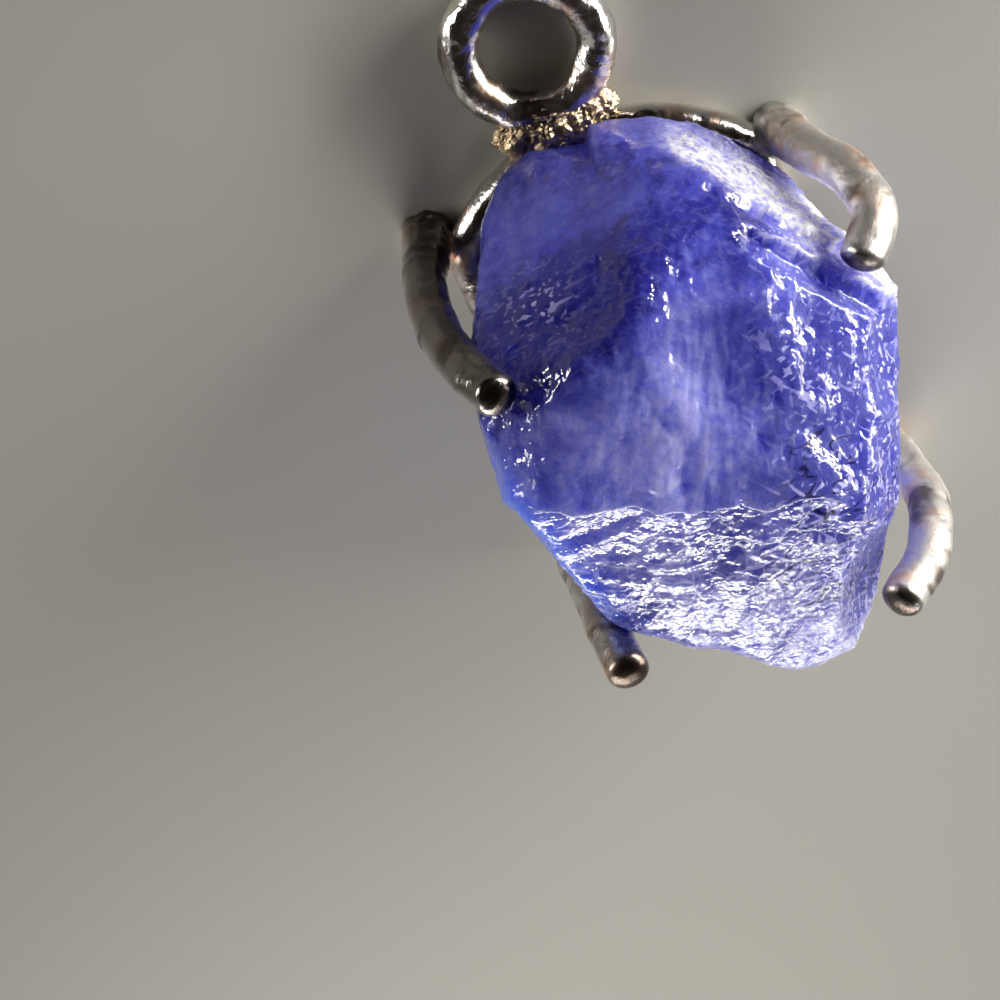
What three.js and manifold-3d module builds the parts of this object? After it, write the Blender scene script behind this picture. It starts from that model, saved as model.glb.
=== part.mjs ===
// Rough tanzanite held in a four-prong silver wire setting, lying on its back.
// Millimetres and degrees. +Z comes out of the stone's broad face, +Y points to the hanging ring.

import * as THREE from "three";
import { mergeVertices } from "three/addons/utils/BufferGeometryUtils.js";
import Module from "manifold-3d";

const wasm = await Module();
wasm.setup();

// Driving dimensions
const wireRadius = 0.55; // silver wire of the loop and the ring
const prongRadius = 0.61;
const filedBack = 0.1; // how far the back of the loop is filed flat
const loopHalfWidth = 4.3; // to the wire's centre
const loopSideEnd = 4.5; // where the straight sides meet the arched ends
const loopArchEnd = 6.55;
const ringRadius = 1.87; // to the wire's centre
const ringPlace = [-0.3, 9.6, 0.7];
const solderPlace = [-0.45, 7.3, 0.62];
const solderSize = [1.6, 0.6, 0.6]; // half sizes of the main lump
const seatGap = 0.05; // left between pieces that touch
const stoneTurn = -22.5; // the stone sits turned in its setting
const stoneCentre = [0.431, 0.255, 5.25];
const tipDome = 0.6; // height of a prong's rounded end, as a share of its radius
const wireSides = 12;

// Flat faces of the stone: heading round the stone, rise above level, distance from its centre
const stoneFaces = [
  [0, -90, 4.15], // flat back
  [90, 82, 3.6], // broad front
  [93, 33, 5.1], // upper face
  [127, 23, 4.9], // upper left face
  [165, 52, 5.0], // lower left face
  [47, 59, 4.0], // right face
  [280, 70, 4.35], // lower bevel
  [250, 60, 5.05], // lower lip
  [4, 4, 5.62], // right side
  [354, -6, 6.05],
  [327, 3, 8.35], // lower right corner
  [300, -20, 7.35], // undercut corner
  [249, 0, 6.05], // lower side
  [225, 2, 5.82],
  [198, 6, 5.45], // left side
  [184, -5, 5.55],
  [151, -3, 6.85], // upper left side
  [98, 0, 6.68], // top side
  [63, -4, 5.95], // layered upper right side
  [37, -17, 6.13],
];

// Ledges: all the stone beyond both of two flat faces is split away
const stoneLedges = [
  [[101, 0, 6.17], [180, 0, 2.6]], // leaves the bump at the top
  [[63, 2, 5.55], [63, 80, 0.9]], // layers of the upper right side
  [[58, 4, 5.15], [50, 78, 1.9]],
  [[270, 78, 3.75], [272, 8, 1.7]], // step across the lower front
  [[300, 74, 3.9], [285, 12, 3.4]],
  [[10, 30, 5.35], [300, 10, 2.2]],
  [[215, 20, 5.35], [250, 40, 3.9]],
];

// Shell-shaped chips: heading and rise of the chip, distance to its ball's centre, ball radius
const stoneChips = [
  [127, 22, 11.75, 7],
  [88, 36, 12.6, 8],
  [70, 62, 11.6, 8],
  [284, 64, 11.2, 7],
  [262, 50, 9.9, 5],
  [190, 22, 10.6, 5],
  [330, 20, 11.1, 5],
  [20, 20, 9.9, 4.6],
  [236, -20, 10.6, 5.2],
  [0, -84, 15.6, 11.6],
  [42, 55, 4.75, 0.95], // pits
  [38, 62, 4.6, 0.75],
  [350, 66, 5.2, 0.9],
  [140, 44, 6.0, 0.9],
];

// Prongs: centre line from the filed back up and over the stone, then the piece's name
const prongs = [
  ["prong_upper_left", [-5.1, 5.2, 0], [-5.3, 4.85, 2.4], [-5.05, 4.4, 4.6], [-4.35, 4.1, 6.8], [-3.65, 3.8, 8.15]],
  ["prong_upper_right", [5, 4.6, 0], [5.8, 4.45, 2.1], [6.65, 4.2, 4], [6.9, 3.55, 5.5], [6.3, 2.95, 6.25]],
  ["prong_lower_right", [4.5, -5.85, 0], [5.15, -5.95, 2.2], [5.45, -5.9, 4.6], [4.95, -6.2, 6.6], [4.1, -6.35, 7.8]],
  ["prong_lower_left", [-5.1, -4.95, 0], [-4.7, -5, 2.4], [-4.2, -4.9, 4.8], [-3.85, -4.85, 6.9], [-3.5, -5.3, 8.4]],
];

const silver = { color: 0xc9c4bb, roughness: 0.16, metalness: 1 };
const solderSilver = { color: 0xb9ad97, roughness: 0.5, metalness: 1 };
const tanzanite = { color: 0x4a46c8, roughness: 0.25, metalness: 0 };

const radians = THREE.MathUtils.degToRad;

function towards(heading, rise) {
  const level = Math.cos(radians(rise));
  return new THREE.Vector3(
    level * Math.cos(radians(heading)),
    level * Math.sin(radians(heading)),
    Math.sin(radians(rise)),
  );
}

function toSolid(geometry) {
  const bare = geometry.clone();
  bare.deleteAttribute("normal");
  bare.deleteAttribute("uv");
  const merged = mergeVertices(bare, 1e-5);
  return new wasm.Manifold(
    new wasm.Mesh({
      numProp: 3,
      vertProperties: new Float32Array(merged.attributes.position.array),
      triVerts: new Uint32Array(merged.index.array),
    }),
  );
}

function toGeometry(solid) {
  const { vertProperties, triVerts } = solid.getMesh();
  const geometry = new THREE.BufferGeometry();
  geometry.setAttribute("position", new THREE.BufferAttribute(new Float32Array(vertProperties), 3));
  geometry.setIndex(new THREE.BufferAttribute(new Uint32Array(triVerts), 1));
  geometry.computeVertexNormals();
  return geometry;
}

function makePiece(name, solid, look) {
  const piece = new THREE.Mesh(toGeometry(solid), new THREE.MeshStandardMaterial(look));
  piece.name = name;
  return piece;
}

// Everything beyond a flat face, as a block larger than the stone
function beyond([heading, rise, distance]) {
  const size = 60;
  const block = new THREE.BoxGeometry(size, size, size);
  block.translate(0, 0, size / 2 + distance);
  const turn = new THREE.Quaternion().setFromUnitVectors(new THREE.Vector3(0, 0, 1), towards(heading, rise));
  block.applyQuaternion(turn);
  return toSolid(block);
}

function ball(place, radius) {
  const shape = new THREE.SphereGeometry(radius, 40, 24);
  shape.translate(...place);
  return toSolid(shape);
}

function makeStoneShape() {
  let shape = toSolid(new THREE.BoxGeometry(18, 20, 16));
  for (const face of stoneFaces) {
    shape = shape.subtract(beyond(face));
  }
  for (const [tread, riser] of stoneLedges) {
    shape = shape.subtract(beyond(tread).intersect(beyond(riser)));
  }
  for (const [heading, rise, distance, radius] of stoneChips) {
    shape = shape.subtract(ball(towards(heading, rise).multiplyScalar(distance), radius));
  }
  const placed = toGeometry(shape);
  placed.rotateZ(radians(stoneTurn));
  placed.translate(...stoneCentre);
  return toSolid(placed);
}

// A wire along a closed flat path, with its underside filed flat to the given depth
function closedWire(path, radius, filed, centreHeight) {
  const section = [];
  const halfFlat = Math.max(Math.acos(1 - filed / radius), Math.PI / wireSides);
  for (let i = 0; i < wireSides; i += 1) {
    const angle = halfFlat + (i / (wireSides - 1)) * 2 * (Math.PI - halfFlat) - Math.PI / 2;
    section.push([radius * Math.cos(angle), radius * Math.sin(angle)]);
  }
  const positions = [];
  for (const { place, outward } of path) {
    for (const [across, height] of section) {
      positions.push(place[0] + outward[0] * across, place[1] + outward[1] * across, centreHeight + height);
    }
  }
  const index = [];
  for (let i = 0; i < path.length; i += 1) {
    for (let j = 0; j < wireSides; j += 1) {
      const a = i * wireSides + j;
      const b = i * wireSides + ((j + 1) % wireSides);
      const c = ((i + 1) % path.length) * wireSides + j;
      const d = ((i + 1) % path.length) * wireSides + ((j + 1) % wireSides);
      index.push(a, c, b, b, c, d);
    }
  }
  const geometry = new THREE.BufferGeometry();
  geometry.setAttribute("position", new THREE.Float32BufferAttribute(positions, 3));
  geometry.setIndex(index);
  return toSolid(geometry);
}

// The loop's outline: two straight sides and two arched ends, counter-clockwise
function loopPath() {
  const rise = loopArchEnd - loopSideEnd;
  const archRadius = (loopHalfWidth ** 2 + rise ** 2) / (2 * rise);
  const half = Math.asin(loopHalfWidth / archRadius);
  const steps = 20;
  const path = [];
  for (const end of [1, -1]) {
    for (let i = 0; i <= steps; i += 1) {
      const angle = half * (1 - (2 * i) / steps);
      const outward = [end * Math.sin(angle), end * Math.cos(angle)];
      const centre = end * (loopArchEnd - archRadius);
      path.push({ place: [archRadius * outward[0], centre + archRadius * outward[1]], outward });
    }
  }
  // at the four corners the wire turns from the arch to the straight side
  for (const corner of path.filter(({ place }) => Math.abs(place[0]) > loopHalfWidth - 0.001)) {
    const side = Math.sign(corner.place[0]);
    const mitre = new THREE.Vector2(side, 0).add(new THREE.Vector2(...corner.outward));
    const stretch = 2 / mitre.lengthSq();
    corner.outward = [mitre.x * stretch, mitre.y * stretch];
  }
  return path;
}

function makeProng(points, radius) {
  const route = new THREE.CatmullRomCurve3(points.map((place) => new THREE.Vector3(...place)));
  const section = new THREE.Shape();
  section.absarc(0, 0, radius, 0, 2 * Math.PI, false);
  const wire = new THREE.ExtrudeGeometry(section, {
    steps: 22,
    curveSegments: wireSides / 2,
    extrudePath: route,
    bevelEnabled: false,
  });
  const end = new THREE.SphereGeometry(radius, 16, 8);
  end.scale(1, 1, tipDome);
  const turn = new THREE.Quaternion().setFromUnitVectors(new THREE.Vector3(0, 0, 1), route.getTangent(1));
  end.applyQuaternion(turn);
  end.translate(...points[points.length - 1]);
  return toSolid(wire).add(toSolid(end));
}

// The rough lump of solder: overlapping balls drawn out along the loop
function makeSolder() {
  const [x, y, z] = solderPlace;
  const main = new THREE.SphereGeometry(1, 24, 14);
  main.scale(...solderSize);
  main.translate(x, y, z);
  let lump = toSolid(main);
  const grains = [
    [-1.25, 0.12, 0.05, 0.45],
    [-0.75, 0.3, 0.3, 0.42],
    [0.1, 0.25, 0.35, 0.5],
    [0.85, 0.3, 0.25, 0.46],
    [1.4, -0.05, 0.1, 0.42],
    [-0.3, -0.35, 0.3, 0.4],
    [0.6, -0.4, 0.25, 0.4],
  ];
  for (const [right, up, high, radius] of grains) {
    const grain = new THREE.SphereGeometry(radius, 14, 9);
    grain.translate(x + right, y + up, z + high);
    lump = lump.add(toSolid(grain));
  }
  return lump;
}

function makeRing(radius) {
  const ring = new THREE.TorusGeometry(ringRadius, radius, wireSides, 40);
  ring.translate(...ringPlace);
  return toSolid(ring);
}

const group = new THREE.Group();
const loopCentreHeight = wireRadius - filedBack;
const loop = closedWire(loopPath(), wireRadius, filedBack, loopCentreHeight);
const loopRoom = closedWire(loopPath(), wireRadius + seatGap, 0, loopCentreHeight);
const floor = beyond([0, -90, 0]);
let stone = makeStoneShape();

for (const [name, ...points] of prongs) {
  stone = stone.subtract(makeProng(points, prongRadius + seatGap));
  const prong = makeProng(points, prongRadius).subtract(loopRoom).subtract(floor);
  group.add(makePiece(name, prong, silver));
}
stone = stone.subtract(loopRoom);
const solder = makeSolder()
  .subtract(loopRoom)
  .subtract(makeRing(wireRadius + seatGap));

group.add(makePiece("back_loop", loop, silver));
group.add(makePiece("hanging_ring", makeRing(wireRadius), silver));
group.add(makePiece("solder_joint", solder, solderSilver));
group.add(makePiece("rough_stone", stone, tanzanite));

// The origin is on the surface that it lies on, under the middle of its bounding box
const middle = new THREE.Box3().setFromObject(group).getCenter(new THREE.Vector3());
group.position.set(-middle.x, -middle.y, 0);

export default group;
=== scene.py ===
import math

import bmesh
import bpy
import numpy as np
from mathutils import Matrix, Vector


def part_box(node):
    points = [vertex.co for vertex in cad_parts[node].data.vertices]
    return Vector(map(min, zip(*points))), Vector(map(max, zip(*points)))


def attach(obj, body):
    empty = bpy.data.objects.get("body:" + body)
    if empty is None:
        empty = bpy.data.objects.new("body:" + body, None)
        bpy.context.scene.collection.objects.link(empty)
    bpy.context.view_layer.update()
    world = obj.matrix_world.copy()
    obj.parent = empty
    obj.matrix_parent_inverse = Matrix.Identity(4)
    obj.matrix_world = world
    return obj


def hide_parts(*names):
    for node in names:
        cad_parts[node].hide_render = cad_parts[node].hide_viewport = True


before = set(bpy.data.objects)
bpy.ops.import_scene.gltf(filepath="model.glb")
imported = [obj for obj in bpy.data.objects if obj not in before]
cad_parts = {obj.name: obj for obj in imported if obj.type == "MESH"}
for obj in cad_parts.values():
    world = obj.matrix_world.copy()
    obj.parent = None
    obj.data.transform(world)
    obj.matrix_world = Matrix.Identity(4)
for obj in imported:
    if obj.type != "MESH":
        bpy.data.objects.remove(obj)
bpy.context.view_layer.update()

mm = 0.001

# where the setting stands: the loop's middle on the surface, and the stone's middle above it
loopLow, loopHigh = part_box("back_loop")
loopMiddle = np.array([(loopLow[0] + loopHigh[0]) / 2, (loopLow[1] + loopHigh[1]) / 2, 0.0])
stoneOffset = np.array([0.431, 0.255, 5.25]) * mm
stoneMiddle = loopMiddle + stoneOffset
stoneTurn = math.radians(-22.5)  # the stone sits turned in its setting

camera = {
    "lean": 30,  # degrees between the line of sight and straight down
    "distance": 75 * mm,  # from the stone's middle, along the line of sight
    "aimRight": -4.995 * mm,  # how far the axis passes beside the stone's middle
    "aimUp": -2.70 * mm,
    "lens": 100,
    "sensor": 36,
}


def viewAxes():
    # right, up and backward directions of the camera, which stands on the ring's side and leans back
    lean = math.radians(camera["lean"])
    right = np.array([math.cos(stoneTurn), math.sin(stoneTurn), 0])
    ahead = np.array([-math.sin(stoneTurn), math.cos(stoneTurn), 0])
    high = np.array([0, 0, 1.0])
    back = math.sin(lean) * ahead + math.cos(lean) * high
    up = math.cos(lean) * ahead - math.sin(lean) * high
    return right, up, back


def makeCamera():
    right, up, back = viewAxes()
    place = stoneMiddle + camera["aimRight"] * right + camera["aimUp"] * up + camera["distance"] * back
    data = bpy.data.cameras.new("view")
    data.lens = camera["lens"]
    data.sensor_width = camera["sensor"]
    data.clip_start = 0.001
    data.clip_end = 10
    item = bpy.data.objects.new("view", data)
    bpy.context.scene.collection.objects.link(item)
    turn = Matrix([[right[i], up[i], back[i]] for i in range(3)]).to_4x4()
    item.matrix_world = Matrix.Translation(Vector(place)) @ turn
    bpy.context.scene.camera = item


makeCamera()

# the stone, in millimetres about its middle, in its own turned axes
stone = {
    # flat faces: heading round the stone, rise above level, distance from the middle
    "faces": [
        (0, -90, 4.15), (90, 82, 3.6), (93, 33, 5.1), (127, 23, 4.9), (165, 52, 5.0), (47, 59, 4.0),
        (280, 70, 4.35), (250, 60, 5.05), (4, 4, 5.62), (354, -6, 6.05), (327, 3, 8.35), (300, -20, 7.35),
        (249, 0, 6.05), (225, 2, 5.82), (198, 6, 5.45), (184, -5, 5.55), (151, -3, 6.85), (98, 0, 6.68),
        (63, -4, 5.95), (37, -17, 6.13),
    ],
    # ledges: all beyond both faces is split away, with this softness of the edge
    "ledges": [
        ((101, 0, 6.17), (180, 0, 2.6), 0.4), ((63, 2, 5.55), (63, 80, 0.9), 0.05),
        ((58, 4, 5.15), (50, 78, 1.9), 0.05), ((270, 78, 3.75), (272, 8, 1.7), 0.08),
        ((300, 74, 3.9), (285, 12, 3.4), 0.08), ((10, 30, 5.35), (300, 10, 2.2), 0.08),
        ((215, 20, 5.35), (250, 40, 3.9), 0.2),
    ],
    # shell-shaped chips: heading, rise, distance to the ball's middle, ball radius
    "chips": [
        (127, 22, 11.75, 7), (88, 36, 12.6, 8), (70, 62, 11.6, 8), (284, 64, 11.2, 7), (262, 50, 9.9, 5),
        (190, 22, 10.6, 5), (330, 20, 11.1, 5), (20, 20, 9.9, 4.6), (236, -20, 10.6, 5.2),
        (0, -84, 15.6, 11.6), (42, 55, 4.75, 0.95), (38, 62, 4.6, 0.75), (350, 66, 5.2, 0.9),
        (140, 44, 6.0, 0.9),
    ],
    "grid": 126,  # squares along one side of the wrapped cube
    "blend": 0.5,  # softness of the edges between faces
    "chipBlend": 0.14,
    "noiseBall": 6.0,  # radius of the ball on which the unevenness below is read
    # height, spacing and layers of the slow and the fine unevenness, and of the ledges' wavy edges
    "unevenSlow": (0.13, 2.6, 3),
    "unevenFine": (0.03, 0.8, 2),
    "ledgeWave": (0.42, 2.2, 3),
    "faceBend": 0.05,  # how much each face bends on its own
    "back": -4.13,  # it lies flat on the loop here
    "seed": 11,
}


def towards(heading, rise):
    h, r = math.radians(heading), math.radians(rise)
    return np.array([math.cos(r) * math.cos(h), math.cos(r) * math.sin(h), math.sin(r)])


def gradientNoise(points, scale, seed):
    # smooth noise about -1..1: random slopes at whole-number corners, blended by the fade 6t^5-15t^4+10t^3
    p = points / scale
    cell = np.floor(p).astype(np.int64)
    f = p - cell
    w = f * f * f * (f * (f * 6 - 15) + 10)
    total = np.zeros(len(p))
    for dx in (0, 1):
        for dy in (0, 1):
            for dz in (0, 1):
                c = cell + (dx, dy, dz)
                h = (c[:, 0] * 73856093) ^ (c[:, 1] * 19349663) ^ (c[:, 2] * 83492791) ^ (seed * 2654435761)
                h = (h ^ (h >> 13)) * 1274126177 & 0x7FFFFFFF
                a = (h & 1023) / 1023 * 2 * math.pi
                z = ((h >> 10) & 1023) / 1023 * 2 - 1
                s = np.sqrt(1 - z * z)
                g = np.stack([s * np.cos(a), s * np.sin(a), z], 1)
                d = f - (dx, dy, dz)
                k = (w[:, 0] if dx else 1 - w[:, 0]) * (w[:, 1] if dy else 1 - w[:, 1])
                k = k * (w[:, 2] if dz else 1 - w[:, 2])
                total += k * (g * d).sum(1)
    return total * 1.6


def layeredNoise(points, scale, seed, layers=4, gain=0.5):
    # several noises added, each half the size and weaker
    total = np.zeros(len(points))
    weight = 1.0
    for i in range(layers):
        total += weight * gradientNoise(points, scale / 2**i, seed + 17 * i)
        weight *= gain
    return total


def heightNoise(points, values, seed):
    # layered noise from its height, spacing and number of layers
    height, scale, layers = values
    return height * layeredNoise(points, scale, seed, layers)


def ridgedNoise(points, scale, seed, layers=4):
    # noise folded at zero, so that it has sharp crests
    total = np.zeros(len(points))
    weight = 1.0
    for i in range(layers):
        total += weight * (1 - 2 * np.abs(gradientNoise(points, scale / 2**i, seed + 29 * i)))
        weight *= 0.5
    return total


def wrappedCube(n):
    # unit directions on a cube's six faces, evened out by tangents, with the shared edges joined
    t = np.tan(np.linspace(-math.pi / 4, math.pi / 4, n + 1))
    a, b = np.meshgrid(t, t, indexing="ij")
    one = np.ones_like(a)
    sides = [(one, a, b), (-one, b, a), (b, one, a), (a, -one, b), (a, b, one), (b, a, -one)]
    points = np.concatenate([np.stack([s.ravel() for s in side], 1) for side in sides])
    index = np.arange((n + 1) ** 2).reshape(n + 1, n + 1)
    quad = np.stack([index[:-1, :-1], index[1:, :-1], index[1:, 1:], index[:-1, 1:]], -1).reshape(-1, 4)
    quads = np.concatenate([quad + i * (n + 1) ** 2 for i in range(6)])
    _, first, inverse = np.unique(np.round(points, 6), axis=0, return_index=True, return_inverse=True)
    points = points[first]
    quads = inverse.ravel()[quads]
    return points / np.linalg.norm(points, axis=1)[:, None], quads


farAway = 60.0  # a reach beyond the whole stone, for rays that miss
grazing = 0.02  # rays flatter to a face than this miss it


def faceReach(directions, face, lift=0.0):
    # how far a ray from the middle goes before it meets a flat face
    heading, rise, distance = face
    slope = directions @ towards(heading, rise)
    return np.where(slope > grazing, (distance + lift) / np.maximum(slope, grazing), farAway)


def chipReach(directions, chip, lift=0.0):
    # how far a ray goes before it enters the ball that a chip follows
    heading, rise, distance, radius = chip
    middle = towards(heading, rise) * distance
    along = directions @ middle
    inside = along**2 - (distance**2 - (radius + lift) ** 2)
    return np.where((inside > 0) & (along > 0), along - np.sqrt(np.maximum(inside, 0)), farAway)


def softLeast(a, b, blend):
    # the smaller of two values, rounded where they are within the blend of each other
    h = np.clip(0.5 + 0.5 * (b - a) / blend, 0, 1)
    return b * (1 - h) + a * h - blend * h * (1 - h)


def stoneReach(directions):
    # distance of the stone's surface from its middle along each direction
    ball = stone["noiseBall"] * directions
    uneven = heightNoise(ball, stone["unevenSlow"], stone["seed"]) + heightNoise(ball, stone["unevenFine"], 3)
    wavy = heightNoise(ball, stone["ledgeWave"], 41)
    reach = np.full(len(directions), farAway)
    for i, face in enumerate(stone["faces"]):
        bent = uneven + stone["faceBend"] * gradientNoise(ball + 31.7 * (i + 1), 1.7, 7 + i)
        reach = softLeast(reach, faceReach(directions, face, bent), stone["blend"])
    for tread, riser, soft in stone["ledges"]:
        cut = np.maximum(faceReach(directions, tread, wavy * 0.3), faceReach(directions, riser, wavy))
        reach = softLeast(reach, cut, soft)
    for chip in stone["chips"]:
        reach = softLeast(reach, chipReach(directions, chip, -0.6 * uneven), stone["chipBlend"])
    return reach


def smoothStep(value, low, high):
    t = np.clip((value - low) / (high - low), 0, 1)
    return t * t * (3 - 2 * t)


relief = {
    "pitCount": 260,
    "pitRadius": (0.08, 0.34),
    "pitDepth": 0.2,  # share of its radius
    "flowWave": 0.42,  # spacing of the curved flow lines low on the front
    "flowHeight": 0.08,
    "layerStep": 0.42,  # thickness of the split layers
    "layerHeight": 0.2,
    "chipHeight": 0.07,
    "needleHeight": 0.035,
    "grainHeight": 0.012,
    "striationHeight": 0.03,
    "pitBend": 0.3,  # how far the bites are bent out of round
    "pitAim": (20, 55),  # heading and rise that half of the bites gather about
    # how broken each region is
    "brokenBy": {"low": 0.9, "right": 0.85, "upperRight": 0.7, "cluster": 1.0, "crown": 1.0},
}


def weighted(weights, parts, start=0.0):
    # a starting value plus each named part times its weight
    return start + sum(weight * parts[key] for key, weight in weights.items())


def stoneZones(p):
    # how much each point belongs to the regions of the broad front, each 0 to 1
    across, along, high = p[:, 0], p[:, 1], p[:, 2]
    lean = math.radians(camera["lean"])
    up = math.cos(lean) * along - math.sin(lean) * high  # height in the broad view of the stone
    wander = 0.5 * layeredNoise(p, 2.2, 15, 3)
    front = smoothStep(high, -1.5, 1.5)
    return {
        "up": up,
        "front": front,
        "low": smoothStep(-up + wander, 3.4, 4.6) * front,
        "lowest": smoothStep(-up + wander, 4.6, 6.6) * front,
        "right": smoothStep(across + wander, 0.4, 3.4) * front,
        "upperRight": smoothStep(0.55 * across + 0.83 * up + 0.5 * wander, 4.7, 5.3)
        * smoothStep(across, -1.4, -0.2) * smoothStep(high + wander, -4.4, -2.4),
        "upperLeft": smoothStep(up - 0.75 * across + wander, 1.6, 4.6) * front,
        "lowerLeft": smoothStep(-0.75 * across - 0.65 * up, 4.3, 5.6),
        "cluster": np.exp(-(((across + 4.1) / 0.9) ** 2 + ((up - 2.6) / 0.9) ** 2)) * front,
        "crown": 0.7 * smoothStep(up + 0.3 * wander, 5.3, 6.2),
        "middle": np.exp(-(((across + 1.6) / 2.6) ** 2 + ((up + 2.0) / 1.8) ** 2)) * front,
    }


def layerDepth(p):
    # how deep a point lies in the pile of split layers, whose edges run down to the right
    return -0.45 * p[:, 0] + 0.3 * p[:, 1] + 0.84 * p[:, 2] + 0.14 * layeredNoise(p, 1.6, 21, 3)


def flowField(p, up):
    # lines low on the front follow wide arcs about a point above it,
    # and those at the upper right follow the split layers
    across = p[:, 0]
    arcs = np.hypot(0.42 * (across - 0.9), up - 0.6) + 0.28 * layeredNoise(p, 2.4, 5, 2)
    return np.where(up < 0, arcs, layerDepth(p))


def roughenStone(directions, reach):
    # flow lines, split layers, chips, needles, grain and pits, all moved along the ray from the middle
    p = directions * reach[:, None]
    across, high = p[:, 0], p[:, 2]
    zone = stoneZones(p)
    up = zone["up"]
    broken = np.clip(weighted(relief["brokenBy"], zone), 0, 1)
    patch = smoothStep(layeredNoise(p, 1.5, 13, 3), -0.25, 0.45)
    broken = np.clip(broken * (0.45 + 0.75 * patch) + 0.25 * patch, 0, 1)
    move = np.zeros(len(p))

    # curved flow lines about a point above the lower front, bent by slow noise
    swirl = flowField(p, up)
    wave = 1 - np.abs(np.sin(math.pi * swirl / relief["flowWave"]))
    fade = smoothStep(layeredNoise(p, 1.1, 9, 2), -0.45, 0.5)
    move += relief["flowHeight"] * zone["low"] * wave**2 * fade

    # layers split off the upper right side, each ending in a sharp step
    part = layerDepth(p) / relief["layerStep"]
    move -= relief["layerHeight"] * zone["upperRight"] * (part - np.floor(part)) ** 3

    # flat chips: cells that each tilt their own way, strongest on the broken parts
    warped = p + 0.25 * np.stack([gradientNoise(p, 0.9, 91 + i) for i in range(3)], 1)
    tilt = ridgedNoise(warped * (1.0, 0.75, 0.9), 0.85, 51, 3)
    move += relief["chipHeight"] * broken * (1 - 0.45 * zone["low"]) * (tilt - 0.6)

    # short needles that cross each other, low and to the right
    first = np.stack([up * 5.0 + across * 1.2, across * 1.1 - up * 0.5, high], 1)
    second = np.stack([across * 4.4 - up * 2.6, up * 0.9 + across, high], 1)
    needles = np.maximum(ridgedNoise(first, 1.3, 35, 2), ridgedNoise(second, 1.3, 37, 2))
    move += relief["needleHeight"] * needles * broken * (0.3 + 0.7 * zone["right"])

    # lengthwise striations on the smoother front
    thin = np.stack([across * 2.2, up * 0.4, high * 0.9], 1)
    smooth = zone["front"] * (1 - zone["low"]) * (1 - 0.6 * broken)
    move += relief["striationHeight"] * ridgedNoise(thin, 1.0, 33, 2) * smooth
    move += relief["grainHeight"] * ridgedNoise(p, 0.4, 57, 3) * (0.25 + broken)

    # shell-shaped bites, bent out of round
    dice = np.random.default_rng(stone["seed"])
    bent = p + relief["pitBend"] * np.stack([layeredNoise(p, 0.6, 111 + i, 2) for i in range(3)], 1)
    unit = dice.normal(size=(relief["pitCount"], 3))
    unit /= np.linalg.norm(unit, axis=1)[:, None]
    unit[: relief["pitCount"] // 2] += towards(*relief["pitAim"])
    unit /= np.linalg.norm(unit, axis=1)[:, None]
    least, most = relief["pitRadius"]
    sizes = least + (most - least) * dice.random(len(unit)) ** 3
    for aim, size in zip(unit, sizes):
        near = np.linalg.norm(bent - aim * reach[np.argmax(directions @ aim)], axis=1) / size
        move -= size * relief["pitDepth"] * np.where(near < 1, 1 - near**2, 0)
    return move


def makeMesh(name, points, faces, attributes=None):
    mesh = bpy.data.meshes.new(name)
    mesh.from_pydata(points.tolist(), [], faces.tolist())
    mesh.polygons.foreach_set("use_smooth", np.ones(len(faces), dtype=bool))
    for key, values in (attributes or {}).items():
        layer = mesh.attributes.new(key, "FLOAT", "POINT")
        layer.data.foreach_set("value", values.astype(np.float32))
    mesh.update()
    facing = bmesh.new()
    facing.from_mesh(mesh)
    bmesh.ops.recalc_face_normals(facing, faces=facing.faces)
    facing.to_mesh(mesh)
    facing.free()
    item = bpy.data.objects.new(name, mesh)
    bpy.context.scene.collection.objects.link(item)
    return item


def crestHeight(points, quads, directions, rounds=3):
    # how far each point stands out beyond the mean of its neighbours, in millimetres
    height = (points * directions).sum(1)
    ends = np.concatenate([quads[:, [i, (i + 1) % 4]] for i in range(4)])
    mean = height.copy()
    for _ in range(rounds):
        total = np.bincount(ends[:, 0], mean[ends[:, 1]], len(height))
        mean = total / np.maximum(np.bincount(ends[:, 0], minlength=len(height)), 1)
    return height - mean


paint = {
    # a middle value, and what each part adds to it
    "tint": 0.52,
    "tintBy": {
        "clouds": 0.18, "streaks": 0.10, "low": 0.15, "right": 0.06, "band": 0.22, "crumbs": 0.06,
        "upperLeft": -0.70, "middle": 0.30, "crown": -0.25,
    },
    "clear": 0.62,
    "clearBy": {
        "frost": -0.35, "cloudy": -0.2, "band": -0.2, "lowerLeft": -0.4, "middle": -0.3, "upperRight": -0.2,
    },
    # most frost on the lowest edge, on the lower front, and on sharp crests, where the white is partly
    # frosted wear and partly a painted highlight of glinting edges
    "frostLowest": 0.24,
    "frostLow": 0.20,
    "crestFrostAndGlint": 0.7,
    "crest": (0.01, 0.05),  # crests this high in millimetres begin to be frosted, and are wholly
}


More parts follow.
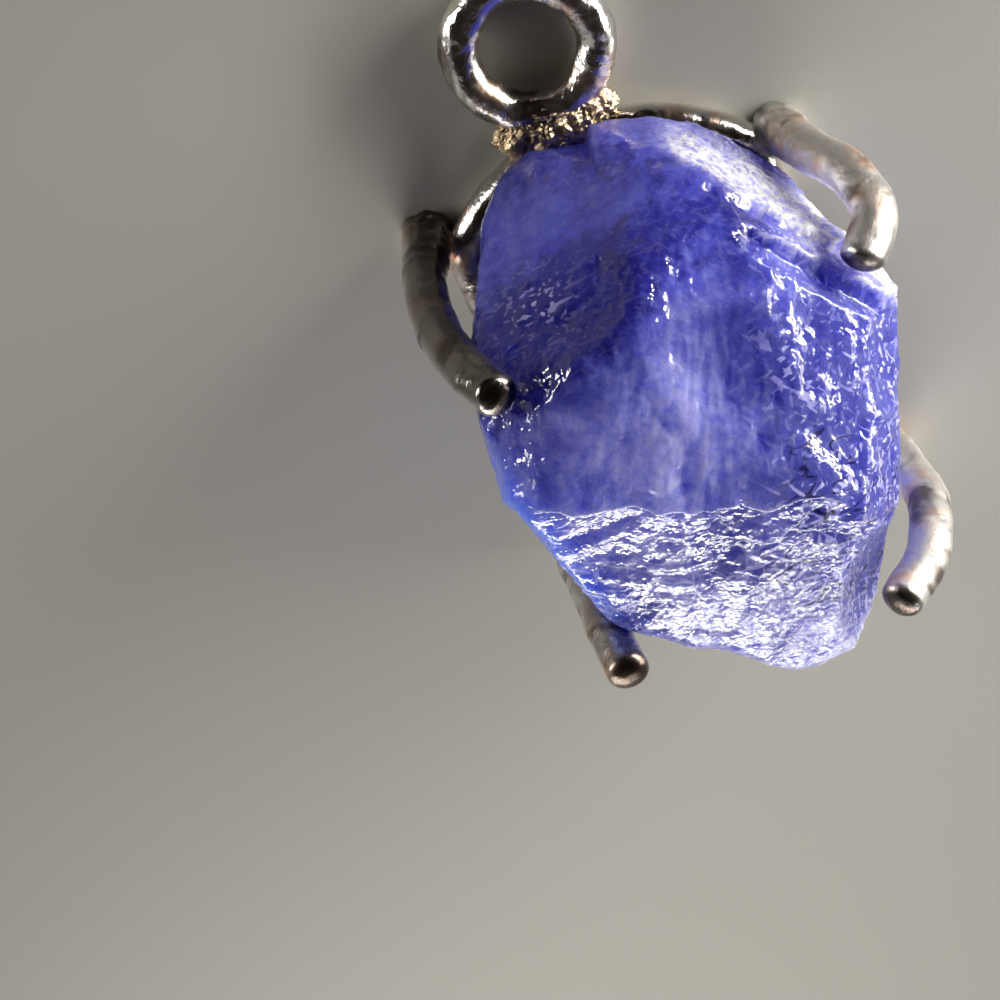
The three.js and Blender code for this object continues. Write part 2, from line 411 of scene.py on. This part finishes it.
def paintStone(p, crest):
    # tint runs from deep to pale, frost is white broken surface and, on sharp crests, partly a painted
    # highlight, clear is how much light passes straight
    across, high = p[:, 0], p[:, 2]
    zone = stoneZones(p)
    up = zone["up"]
    clouds = layeredNoise(p, 3.2, 61, 4)
    thin = np.stack([across * 2.4, up * 0.55, high * 0.9], 1)
    streaks = layeredNoise(thin, 1.0, 67, 4)
    crumbs = layeredNoise(p, 0.5, 71, 3, 0.7)
    band = np.exp(-(((across + 0.3 - 0.06 * up) / 0.9) ** 2)) * smoothStep(up, -5.5, -3.0) * zone["front"]
    parts = {**zone, "clouds": clouds, "streaks": streaks, "crumbs": crumbs, "band": band}
    tint = weighted(paint["tintBy"], parts, paint["tint"])
    edge = smoothStep(crest, *paint["crest"])
    flecks = crumbs + 0.6 * clouds
    frost = paint["frostLowest"] * zone["lowest"] * smoothStep(flecks, -0.4, 0.6)
    frost = np.maximum(frost, paint["frostLow"] * zone["low"] * smoothStep(flecks, -0.2, 0.6))
    shelf = layerDepth(p) / relief["layerStep"]
    shelf = 0.72 + 0.28 * np.abs(2 * (shelf - np.floor(shelf)) - 1)
    frost = np.maximum(frost, zone["upperRight"] * shelf * (0.85 + 0.15 * smoothStep(crumbs, -0.3, 0.4)))
    # sharp crests go white: partly frosted wear, partly a painted highlight standing in for glints on the
    # edges
    onEdges = np.clip(0.2 + zone["low"] + zone["right"] + zone["cluster"], 0, 1)
    frost = np.maximum(frost, paint["crestFrostAndGlint"] * edge * onEdges)
    parts.update(frost=frost, cloudy=smoothStep(clouds, -0.1, 0.6))
    clear = weighted(paint["clearBy"], parts, paint["clear"])
    cracked = smoothStep(across, 1.8, 3.2) * smoothStep(-up, 0.2, 1.2) * smoothStep(up, -6.5, -4.0)
    cracked = cracked * zone["front"]
    patch = smoothStep(layeredNoise(p, 1.5, 13, 3), -0.3, 0.4)
    broken = 0.12 + 0.45 * zone["low"] + zone["right"] * (0.25 + 0.75 * patch) + zone["cluster"]
    broken = np.clip(broken, 0, 1)
    return {
        "tint": np.clip(tint, 0, 1),
        "frost": np.clip(frost, 0, 1),
        "clear": np.clip(clear, 0.1, 0.9),
        "rim": zone["lowerLeft"],
        "pearl": zone["upperRight"],
        "cracked": np.clip(cracked + 0.35 * zone["low"], 0, 1),
        "broken": broken,
        "flow": flowField(p, up),
        "flowing": np.clip(zone["low"] + zone["upperRight"], 0, 1),
    }


def makeStone():
    directions, quads = wrappedCube(stone["grid"])
    reach = stoneReach(directions)
    reach = reach + roughenStone(directions, reach)
    points = directions * reach[:, None]
    points[:, 2] = np.maximum(points[:, 2], stone["back"])
    painted = paintStone(points, crestHeight(points, quads, directions))
    turned = points.copy()
    c, s = math.cos(stoneTurn), math.sin(stoneTurn)
    turned[:, 0] = c * points[:, 0] - s * points[:, 1]
    turned[:, 1] = s * points[:, 0] + c * points[:, 1]
    item = makeMesh("tanzanite_crystal", turned * mm + stoneMiddle, quads, painted)
    print("stone made,", len(quads), "quads")
    return item


crystal = makeStone()


class Graph:
    # a small helper that adds nodes and links to one material
    def __init__(self, name):
        self.material = bpy.data.materials.new(name)
        self.material.use_nodes = True
        self.tree = self.material.node_tree
        self.shader = self.tree.nodes["Principled BSDF"]
        self.output = self.tree.nodes["Material Output"]

    def add(self, kind, **settings):
        node = self.tree.nodes.new(kind)
        for key, value in settings.items():
            setattr(node, key, value)
        return node

    def link(self, source, target):
        self.tree.links.new(source, target)

    def place(self, scale=(1, 1, 1), turn=(0, 0, 0)):
        # object coordinates in millimetres, turned back first and then stretched
        coordinates = self.add("ShaderNodeTexCoord")
        mapping = self.add("ShaderNodeMapping", vector_type="TEXTURE")
        mapping.inputs["Scale"].default_value = [mm / v for v in scale]
        mapping.inputs["Rotation"].default_value = turn
        self.link(coordinates.outputs["Object"], mapping.inputs["Vector"])
        return mapping.outputs["Vector"]

    def noise(self, vector, scale, detail=4, rough=0.55, distortion=0.0):
        node = self.add("ShaderNodeTexNoise")
        node.inputs["Scale"].default_value = scale
        node.inputs["Detail"].default_value = detail
        node.inputs["Roughness"].default_value = rough
        node.inputs["Distortion"].default_value = distortion
        self.link(vector, node.inputs["Vector"])
        return node.outputs["Fac"]

    def painted(self, key):
        return self.add("ShaderNodeAttribute", attribute_name=key).outputs["Fac"]

    def spread(self, value, low, high, toLow=0.0, toHigh=1.0):
        node = self.add("ShaderNodeMapRange", interpolation_type="SMOOTHSTEP")
        node.inputs["From Min"].default_value = low
        node.inputs["From Max"].default_value = high
        node.inputs["To Min"].default_value = toLow
        node.inputs["To Max"].default_value = toHigh
        self.link(value, node.inputs["Value"])
        return node.outputs["Result"]

    def math(self, kind, a, b):
        node = self.add("ShaderNodeMath", operation=kind)
        for socket, value in zip(node.inputs, (a, b)):
            if isinstance(value, (int, float)):
                socket.default_value = value
            else:
                self.link(value, socket)
        return node.outputs["Value"]

    def mix(self, amount, a, b):
        node = self.add("ShaderNodeMix", data_type="RGBA")
        self.link(amount, node.inputs["Factor"])
        for socket, value in ((node.inputs[6], a), (node.inputs[7], b)):
            if isinstance(value, tuple):
                socket.default_value = (*value, 1)
            else:
                self.link(value, socket)
        return node.outputs[2]

    def bump(self, height, strength, distance, below=None):
        node = self.add("ShaderNodeBump")
        node.inputs["Strength"].default_value = strength
        node.inputs["Distance"].default_value = distance
        self.link(height, node.inputs["Height"])
        if below is not None:
            self.link(below, node.inputs["Normal"])
        return node.outputs["Normal"]


gem = {
    "deep": (0.036, 0.034, 0.34),
    "middle": (0.17, 0.18, 0.78),
    "pale": (0.42, 0.43, 0.95),
    "frost": (0.64, 0.63, 0.88),
    "pearl": (0.93, 0.91, 0.92),
    "rim": (0.09, 0.20, 1.0),
    "crack": (0.02, 0.015, 0.12),
    "ior": 1.69,
    "absorb": (0.35, 0.32, 0.96),
    "density": 110.0,
    "glow": 0.85,  # share of the cloudy part that scatters light inside
    "glowDepth": 0.0022,
    # needles: directions in the broad face, in degrees
    "needleTurns": (12, 70, 128),
    # noise scales, in waves a millimetre
    "grain": 2.6,
    "fine": 6.0,
    "flowTurns": 30.0,  # of the flow lines' sine, in radians a millimetre of the painted field
    "flowBend": 5.0,
    "bump": (0.5, 0.06 * mm),  # strength and height
}


def needleLines(g):
    # thin short lines in a few directions: where stretched noise passes through its middle value
    total = None
    for i, turn in enumerate(gem["needleTurns"]):
        along = g.place(scale=(0.7, 4.2, 4.2), turn=(0, 0.2 * i - 0.2, math.radians(turn)))
        line = g.spread(g.noise(along, 1.5, 0), 0.67, 0.72)
        total = line if total is None else g.math("MAXIMUM", total, line)
    return total


def makeTanzanite():
    g = Graph("tanzanite")
    even = g.place()
    grain = g.noise(even, gem["grain"], 2, 0.6)
    fine = g.noise(even, gem["fine"], 1, 0.6)
    needles = g.math("MULTIPLY", needleLines(g), g.painted("broken"))

    # flow lines: a sine of the painted field, bent and broken up by noise
    bend = g.math("MULTIPLY", grain, gem["flowBend"])
    phase = g.math("ADD", g.math("MULTIPLY", g.painted("flow"), gem["flowTurns"]), bend)
    wave = g.spread(g.math("SINE", phase, 0), 0.2, 1.0)
    flow = g.math("MULTIPLY", g.math("MULTIPLY", wave, g.painted("flowing")), g.spread(grain, 0.36, 0.62))

    lines = g.math("MAXIMUM", needles, g.math("MULTIPLY", flow, 0.9))
    tint = g.math("ADD", g.painted("tint"), g.spread(grain, 0.3, 0.7, -0.10, 0.10))
    colour = g.mix(g.spread(tint, 0.05, 0.5), gem["deep"], gem["middle"])
    colour = g.mix(g.spread(tint, 0.42, 1.0), colour, gem["pale"])
    colour = g.mix(g.painted("rim"), colour, gem["rim"])
    frosty = g.math("MULTIPLY", g.painted("frost"), g.spread(fine, 0.34, 0.6, 0.4, 1.1))
    frosty = g.math("MAXIMUM", frosty, g.math("MULTIPLY", lines, 0.75))
    colour = g.mix(frosty, colour, g.mix(g.painted("pearl"), gem["frost"], gem["pearl"]))
    # cracks: thin dark lines where a noise stretched up to the right passes its middle value
    split = g.noise(g.place(scale=(0.8, 1.8, 1.8), turn=(0, 0, math.radians(5))), 0.9, 1, 0.6)
    cracks = g.spread(g.math("ABSOLUTE", g.math("SUBTRACT", split, 0.52), 0), 0.010, 0.026, 1.0, 0.0)
    cracks = g.math("MULTIPLY", g.math("MULTIPLY", cracks, g.painted("cracked")), g.spread(grain, 0.42, 0.5))
    colour = g.mix(g.math("MULTIPLY", cracks, 0.85), colour, gem["crack"])
    g.link(colour, g.shader.inputs["Base Color"])
    seeThrough = g.math("MULTIPLY", g.painted("clear"), g.spread(lines, 0.0, 1.0, 1.0, 0.3))
    g.link(seeThrough, g.shader.inputs["Transmission Weight"])
    frostRough = g.math("MULTIPLY", g.painted("frost"), 0.25)
    rough = g.math("ADD", g.spread(grain, 0.4, 0.65, 0.08, 0.24), frostRough)
    g.link(rough, g.shader.inputs["Roughness"])
    g.shader.inputs["IOR"].default_value = gem["ior"]
    g.shader.inputs["Subsurface Weight"].default_value = gem["glow"]
    g.shader.inputs["Subsurface Radius"].default_value = (0.5, 0.5, 1.0)
    g.shader.inputs["Subsurface Scale"].default_value = gem["glowDepth"]
    g.link(g.bump(fine, *gem["bump"]), g.shader.inputs["Normal"])
    absorb = g.add("ShaderNodeVolumeAbsorption")
    absorb.inputs["Color"].default_value = (*gem["absorb"], 1)
    absorb.inputs["Density"].default_value = gem["density"]
    g.link(absorb.outputs["Volume"], g.output.inputs["Volume"])
    return g.material


crystal.data.materials.append(makeTanzanite())
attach(crystal, "root")
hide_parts("rough_stone")

# the setting, in millimetres about the loop's middle
wire = {"radius": 0.55, "sides": 48, "wear": 0.03, "wearSize": 0.9}
loop = {
    "halfWidth": 4.3,
    "sideEnd": 4.5,
    "archEnd": 6.55,
    "filedBack": 0.1,  # depth of the flat on its back
    # painted shade: how dark the reflection painted on the loop's side towards the view is
    "paintedShade": 0.7,
    "archSteps": 120,
    "sideSteps": 100,
    "bendRounds": 12,  # rounds of smoothing at the four bends
}
# the ring's painted shade, a dark reflection painted on its side towards the view, is lighter than the loop's
ring = {"radius": 1.87, "place": (-0.3, 9.6, 0.7), "wear": 0.06, "paintedShade": 0.2, "steps": 240}
solder = {
    "place": (-0.45, 7.3, 0.62),
    "size": (1.75, 0.8, 0.72),
    "grid": 64,
    "crest": 0.10,  # height of the crests, then of the grains on them
    "grain": 0.07,
    "inset": 0.06,
    "lowest": 0.02,
}
prongWire = {
    "radius": 0.61,
    "steps": 200,
    "domeSteps": 14,
    "domeHeight": 0.6,  # share of the radius
    "fillet": 0.22,  # share of the radius that the root is thicker by
    "filletLength": 0.9,
    "rootLump": 0.12,  # how far the solder at the root stands out
    "lumpLength": 1.4,
    # painted shade: how dark the tips are painted, standing in for their dark reflection
    "endPaintedShade": 0.92,
}
# prongs: centre line from the back up and over the stone, how much painted shade (a dark brown reflection
# painted on its side towards the view) it has, how matt its silver is
prongs = {
    "prong_upper_left": {
        "route": [
            (-5.1, 5.2, 0), (-5.3, 4.85, 2.4), (-5.05, 4.4, 4.6), (-4.35, 4.1, 6.8), (-3.65, 3.8, 8.15),
        ],
        "paintedShade": 0.8,
        "matt": 0.0,
    },
    "prong_upper_right": {
        "route": [
            (5, 4.6, 0), (5.8, 4.45, 2.1), (6.65, 4.2, 4), (6.9, 3.55, 5.5), (6.3, 2.95, 6.25),
        ],
        "paintedShade": 0.3,
        "matt": 1.0,
    },
    "prong_lower_right": {
        "route": [
            (4.5, -5.85, 0), (5.15, -5.95, 2.2), (5.45, -5.9, 4.6), (4.95, -6.2, 6.6), (4.1, -6.35, 7.8),
        ],
        "paintedShade": 0.15,
        "matt": 1.0,
    },
    "prong_lower_left": {
        "route": [
            (-5.1, -4.95, 0), (-4.7, -5, 2.4), (-4.2, -4.9, 4.8), (-3.85, -4.85, 6.9), (-3.5, -5.3, 8.4),
        ],
        "paintedShade": 0.6,
        "matt": 0.3,
    },
}


def smoothRoute(points, count):
    # centripetal Catmull-Rom curve: knots grow by the root of each gap,
    # and each stretch blends its four nearest points
    p = np.array(points, float)
    p = np.concatenate([[2 * p[0] - p[1]], p, [2 * p[-1] - p[-2]]])
    knots = np.concatenate([[0], np.cumsum(np.sqrt(np.linalg.norm(np.diff(p, axis=0), axis=1)))])
    stretch = np.linspace(0, len(points) - 1, count)
    i = np.minimum(stretch.astype(int), len(points) - 2)
    part = (stretch - i)[:, None]
    k = [knots[i + j][:, None] for j in range(4)]
    q = [p[i + j] for j in range(4)]
    t = k[1] + (k[2] - k[1]) * part
    a = [((k[j + 1] - t) * q[j] + (t - k[j]) * q[j + 1]) / (k[j + 1] - k[j]) for j in range(3)]
    b = [((k[j + 2] - t) * a[j] + (t - k[j]) * a[j + 1]) / (k[j + 2] - k[j]) for j in range(2)]
    return ((k[2] - t) * b[0] + (t - k[1]) * b[1]) / (k[2] - k[1])


def gridFaces(rows, columns, closedRows):
    # quads of a grid whose columns run round, and whose rows run round too where closedRows is true
    index = np.arange(rows * columns).reshape(rows, columns)
    index = np.concatenate([index, index[:, :1]], 1)
    if closedRows:
        index = np.concatenate([index, index[:1]], 0)
    return np.stack([index[:-1, :-1], index[1:, :-1], index[1:, 1:], index[:-1, 1:]], -1).reshape(-1, 4)


def wornSurface(points, outward, scale, height, seed):
    # moves a worked surface out and in by slow noise, as hand-bent and polished wire is
    move = layeredNoise(points.reshape(-1, 3), scale, seed, 3).reshape(points.shape[:2])
    return points + outward * (move * np.reshape(height, (-1, 1)))[..., None]


def wireMesh(route, normal, binormal, radius, seed, closed, wear):
    # a circle of the given radius carried along the route: centre + radius (cos a normal + sin a binormal)
    angle = np.linspace(0, 2 * math.pi, wire["sides"], endpoint=False)
    cosine, sine = np.cos(angle)[None, :, None], np.sin(angle)[None, :, None]
    outward = cosine * normal[:, None] + sine * binormal[:, None]
    points = route[:, None] + radius[:, None, None] * outward
    fade = np.minimum(1, radius / 0.3)[:, None, None]  # no wear at the very tip
    points = wornSurface(points, outward * fade, wire["wearSize"], wear, seed)
    return points, gridFaces(len(route), wire["sides"], closed), outward


def paintedShadeOf(outward, most, bare=0.45, full=0.9):
    # painted shade: a dark brown reflection painted on the side that faces up and to the ring, towards the
    # view, thinning out to the bright flanks
    facing = outward @ viewAxes()[2]
    return most * smoothStep(facing, bare, full)


def finishSilver(name, points, faces, replaces, material, closeEnds=False, tarnishAndPaintedShade=None, matt=None):
    flat = points.reshape(-1, 3)
    tarnishAndPaintedShade = np.zeros(len(flat)) if tarnishAndPaintedShade is None else tarnishAndPaintedShade.ravel()
    matt = np.zeros(len(flat)) if matt is None else matt
    # the painted shade and the matt share go onto the mesh as point attributes
    item = makeMesh(name, flat * mm + loopMiddle, faces, {"tarnishAndPaintedShade": tarnishAndPaintedShade, "matt": matt})
    if closeEnds:
        seal = bmesh.new()
        seal.from_mesh(item.data)
        bmesh.ops.remove_doubles(seal, verts=seal.verts, dist=2e-7)
        bmesh.ops.recalc_face_normals(seal, faces=seal.faces)
        seal.to_mesh(item.data)
        seal.free()
    item.data.materials.append(material)
    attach(item, "root")
    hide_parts(replaces)
    return item


silver = {
    "bright": (0.93, 0.90, 0.85),
    "warm": (0.82, 0.58, 0.44),  # painted reflection: a warm copper tint in random patches, standing in for warm reflections
    # dark brown for scratches and for patches that are partly tarnish and partly painted dark reflection
    "dull": (0.13, 0.095, 0.07),
    "solder": (0.52, 0.40, 0.25),
    # painted shade: near-black brown standing in for dark reflections on the side towards the view and on the
    # tips
    "paintedShadeColour": (0.055, 0.04, 0.034),
    "fineBump": 0.04 * mm,
    "slowBump": 0.18 * mm,
}


def makeSilver(name, lump):
    # worn polished silver: brown patches that are partly tarnish and partly painted dark reflection, warm
    # patches of painted reflection, and painted shade from each piece's attribute; lump is how uneven the
    # surface is
    g = Graph(name)
    even = g.place()
    patches = g.noise(even, 0.8, 3, 0.6, 0.5)
    # brown patches, partly tarnish and partly painted dark reflection
    tarnishAndPaintedShade = g.noise(even, 0.45, 3, 0.65, 0.8)
    scratches = g.noise(g.place(scale=(0.5, 3.5, 3.5), turn=(0.3, 0.5, 0.9)), 4.0, 3, 0.7)
    # painted reflection: warm copper-coloured patches at random
    colour = g.mix(g.spread(patches, 0.48, 0.72), silver["solder" if lump else "bright"], silver["warm"])
    colour = g.mix(g.spread(tarnishAndPaintedShade, 0.50, 0.64, 0.0, 0.8), colour, silver["dull"])
    colour = g.mix(g.spread(scratches, 0.62, 0.8, 0.0, 0.6), colour, silver["dull"])
    # painted shade: the piece's attribute darkens the silver to near-black brown, standing in for dark
    # reflections
    colour = g.mix(g.painted("tarnishAndPaintedShade"), colour, silver["paintedShadeColour"])
    g.link(colour, g.shader.inputs["Base Color"])
    g.shader.inputs["Metallic"].default_value = 1.0
    rough = g.spread(patches, 0.3, 0.7, 0.10 + 0.1 * lump, 0.30 + 0.15 * lump)
    g.link(g.math("ADD", rough, g.math("MULTIPLY", g.painted("matt"), 0.3)), g.shader.inputs["Roughness"])
    fine = g.bump(scratches, 0.3 + 0.4 * lump, silver["fineBump"])
    g.link(g.bump(patches, 0.5, silver["slowBump"], fine), g.shader.inputs["Normal"])
    return g.material


wireSilver = makeSilver("silver_wire", 0.0)
solderSilver = makeSilver("silver_solder", 1.0)


def makeProngs():
    thick = prongWire["radius"]
    for seed, (node, prong) in enumerate(prongs.items()):
        root = prong["route"][0]
        route = smoothRoute(prong["route"], prongWire["steps"])
        route = route[route[:, 2] >= 0]
        length = np.concatenate([[0], np.cumsum(np.linalg.norm(np.diff(route, axis=0), axis=1))])
        tangent = np.gradient(route, axis=0)
        tangent /= np.linalg.norm(tangent, axis=1)[:, None]
        # the end is a low dome: stations crowd towards the tip and the radius falls as a quarter ellipse
        dome = np.linspace(0, math.pi / 2, prongWire["domeSteps"])[1:]
        cap = route[-1] + tangent[-1] * (prongWire["domeHeight"] * thick * np.sin(dome))[:, None]
        radius = np.full(len(route), thick)
        radius = radius * (1 + prongWire["fillet"] * np.exp(-((length / prongWire["filletLength"]) ** 2)))
        capRadius = thick * np.cos(dome)
        foot = np.array([0, 0.5, 0.9]) * radius[0]
        route = np.concatenate([np.repeat(route[:1], 3, 0), route, cap])
        last = np.repeat(tangent[-1:], len(cap), 0)
        tangent = np.concatenate([np.repeat(tangent[:1], 3, 0), tangent, last])
        radius = np.concatenate([foot, radius, np.maximum(capRadius, 0)])
        length = np.concatenate([np.zeros(3), length, np.full(len(cap), length[-1])])
        wear = wire["wear"] + prongWire["rootLump"] * np.exp(-((length / prongWire["lumpLength"]) ** 2))
        aside = np.cross(tangent, (root[0], root[1], 0))
        aside /= np.linalg.norm(aside, axis=1)[:, None]
        across = np.cross(tangent, aside)
        grid, faces, outward = wireMesh(route, aside, across, radius, 80 + seed, False, wear)
        grid[..., 2] = np.maximum(grid[..., 2], 0)
        # painted shade: the side towards the view and, darker still, the tip are painted near-black brown,
        # standing in for dark reflections
        end = smoothStep(np.arange(len(route)), len(route) - 16, len(route) - 7)
        paintedShade = paintedShadeOf(outward, prong["paintedShade"], 0.05, 0.5)
        tarnishAndPaintedShade = np.maximum(paintedShade, prongWire["endPaintedShade"] * end[:, None])
        matt = np.repeat(prong["matt"] * (1 - end), grid.shape[1])
        finishSilver(node + "_wire", grid, faces, node, wireSilver, True, tarnishAndPaintedShade, matt)


def makeLoop():
    # two straight sides and two arched ends, run round once
    wide, steps = loop["halfWidth"], loop["sideSteps"]
    rise = loop["archEnd"] - loop["sideEnd"]
    archRadius = (wide**2 + rise**2) / (2 * rise)
    half = math.asin(wide / archRadius)
    turn = np.linspace(half, -half, loop["archSteps"])
    archMiddle = loop["archEnd"] - archRadius
    arch = np.stack([archRadius * np.sin(turn), archMiddle + archRadius * np.cos(turn)], 1)
    side = np.stack([np.full(steps, -wide), np.linspace(1, -1, steps + 2)[1:-1] * loop["sideEnd"]], 1)
    flat = np.concatenate([arch, side, -arch, -side])
    for _ in range(loop["bendRounds"]):
        flat = (np.roll(flat, 1, 0) + flat + np.roll(flat, -1, 0)) / 3
    route = np.concatenate([flat, np.full((len(flat), 1), wire["radius"] - loop["filedBack"])], 1)
    tangent = np.roll(flat, -1, 0) - np.roll(flat, 1, 0)
    tangent /= np.linalg.norm(tangent, axis=1)[:, None]
    outward = np.stack([tangent[:, 1], -tangent[:, 0], np.zeros(len(flat))], 1) * -1
    high = np.tile([0, 0, 1.0], (len(flat), 1))
    radius = np.full(len(flat), wire["radius"])
    grid, faces, around = wireMesh(route, outward, high, radius, 90, True, wire["wear"])
    grid[..., 2] = np.maximum(grid[..., 2], 0)
    # painted shade: a dark reflection painted on the loop's side towards the view
    paintedShade = paintedShadeOf(around, loop["paintedShade"])
    finishSilver("loop_wire", grid, faces, "back_loop", wireSilver, tarnishAndPaintedShade=paintedShade)


def makeRing():
    steps = ring["steps"]
    turn = np.linspace(0, 2 * math.pi, steps, endpoint=False)
    outward = np.stack([np.cos(turn), np.sin(turn), np.zeros(steps)], 1)
    route = np.array(ring["place"]) + ring["radius"] * outward
    high = np.tile([0, 0, 1.0], (steps, 1))
    radius = np.full(steps, wire["radius"])
    grid, faces, around = wireMesh(route, outward, high, radius, 95, True, ring["wear"])
    # painted shade: a dark reflection painted on the ring's side towards the view
    paintedShade = paintedShadeOf(around, ring["paintedShade"])
    finishSilver("ring_wire", grid, faces, "hanging_ring", wireSilver, tarnishAndPaintedShade=paintedShade)


def makeSolder():
    # a low mound between the ring and the loop, thrown into crests and grains
    directions, quads = wrappedCube(solder["grid"])
    p = directions * np.array(solder["size"])
    crest = ridgedNoise(p, 0.55, 101, 4)
    grains = layeredNoise(p, 0.22, 103, 3, 0.7)
    p = p + directions * (solder["crest"] * crest + solder["grain"] * grains - solder["inset"])[:, None]
    p = p + np.array(solder["place"])
    p[:, 2] = np.maximum(p[:, 2], solder["lowest"])
    finishSilver("solder_mound", p, quads, "solder_joint", solderSilver)


makeProngs()
makeLoop()
makeRing()
makeSolder()
print("silver made")


floor = {"side": 0.6, "colour": (0.36, 0.352, 0.318), "rough": 0.9}


def makeStage():
    mesh = bpy.data.meshes.new("floor")
    side = floor["side"]
    corners = [(-side, -side, 0), (side, -side, 0), (side, side, 0), (-side, side, 0)]
    mesh.from_pydata(corners, [], [(0, 1, 2, 3)])
    item = bpy.data.objects.new("floor", mesh)
    bpy.context.scene.collection.objects.link(item)
    material = bpy.data.materials.new("floor_paper")
    material.use_nodes = True
    shader = material.node_tree.nodes["Principled BSDF"]
    shader.inputs["Base Color"].default_value = (*floor["colour"], 1)
    shader.inputs["Roughness"].default_value = floor["rough"]
    mesh.materials.append(material)


room = {
    # dark and brownish above the broad front, bright low down all round the sides
    "darkest": (0.22, 0.52, 0.83),
    "fade": {"From Min": -0.05, "From Max": 0.42, "To Min": 1.0, "To Max": 0.0},
    "bright": (1.0, 0.98, 0.95),
    "dark": (0.05, 0.036, 0.03),
    "strength": 0.38,
}
bounces = {"max_bounces": 3, "diffuse_bounces": 2, "glossy_bounces": 3, "transmission_bounces": 3}
# each light's direction is given as to the right of the view, ahead along the floor, and upward
lights = {
    "right_strip": {"direction": (1.0, 0.25, 0.22), "distance": 0.07, "size": (0.05, 0.012), "power": 0.0062},
    "far_strip": {"direction": (1.0, 0.9, 0.22), "distance": 0.07, "size": (0.04, 0.012), "power": 0.0085},
    "left_strip": {"direction": (-1.0, 0.1, 0.15), "distance": 0.08, "size": (0.04, 0.01), "power": 0.004},
    "near_strip": {"direction": (0.2, -1.0, 0.45), "distance": 0.07, "size": (0.06, 0.012), "power": 0.0058,
                   "spread": 90},
    # washes the floor in front of the stone, and leaves it darker beyond the ring
    "floor_wash": {"direction": (-0.1, -1.0, 0.75), "distance": 0.05, "size": (0.05, 0.01), "power": 0.0095,
                   "spread": 110, "aim": (-0.004, -0.024)},
}


def makeLight(name, direction, distance, size, power, spread=60, aim=None):
    # a soft area light that faces the stone, or a point of the floor given as right and ahead of it
    right = viewAxes()[0]
    ahead = np.array([-right[1], right[0], 0])
    target = stoneMiddle if aim is None else stoneMiddle * (1, 1, 0) + aim[0] * right + aim[1] * ahead
    away = direction[0] * right + direction[1] * ahead + direction[2] * np.array([0, 0, 1])
    away = away / np.linalg.norm(away)
    data = bpy.data.lights.new(name, "AREA")
    data.shape = "RECTANGLE"
    data.size, data.size_y = size
    data.energy = power
    data.spread = math.radians(spread)
    data.color = room["bright"]
    item = bpy.data.objects.new(name, data)
    bpy.context.scene.collection.objects.link(item)
    item.location = Vector(target + away * distance)
    item.rotation_euler = Vector(away).to_track_quat("Z", "Y").to_euler()


def makeLights():
    scene = bpy.context.scene
    scene.view_settings.view_transform = "Standard"
    for key, value in bounces.items():
        setattr(scene.cycles, key, value)
    world = bpy.data.worlds.new("room")
    world.use_nodes = True
    tree = world.node_tree
    background = tree.nodes["Background"]
    coordinates = tree.nodes.new("ShaderNodeTexCoord")
    facing = tree.nodes.new("ShaderNodeVectorMath")
    facing.operation = "DOT_PRODUCT"
    facing.inputs[1].default_value = room["darkest"]
    fade = tree.nodes.new("ShaderNodeMapRange")
    fade.interpolation_type = "SMOOTHSTEP"
    for key, value in room["fade"].items():
        fade.inputs[key].default_value = value
    tone = tree.nodes.new("ShaderNodeMix")
    tone.data_type = "RGBA"
    tone.inputs[6].default_value = (*room["dark"], 1)
    tone.inputs[7].default_value = (*room["bright"], 1)
    tree.links.new(coordinates.outputs["Generated"], facing.inputs[0])
    tree.links.new(facing.outputs["Value"], fade.inputs["Value"])
    tree.links.new(fade.outputs["Result"], tone.inputs["Factor"])
    tree.links.new(tone.outputs[2], background.inputs["Color"])
    background.inputs["Strength"].default_value = room["strength"]
    scene.world = world
    for name, values in lights.items():
        makeLight(name, **values)


makeStage()
makeLights()
print("stage and lights made")
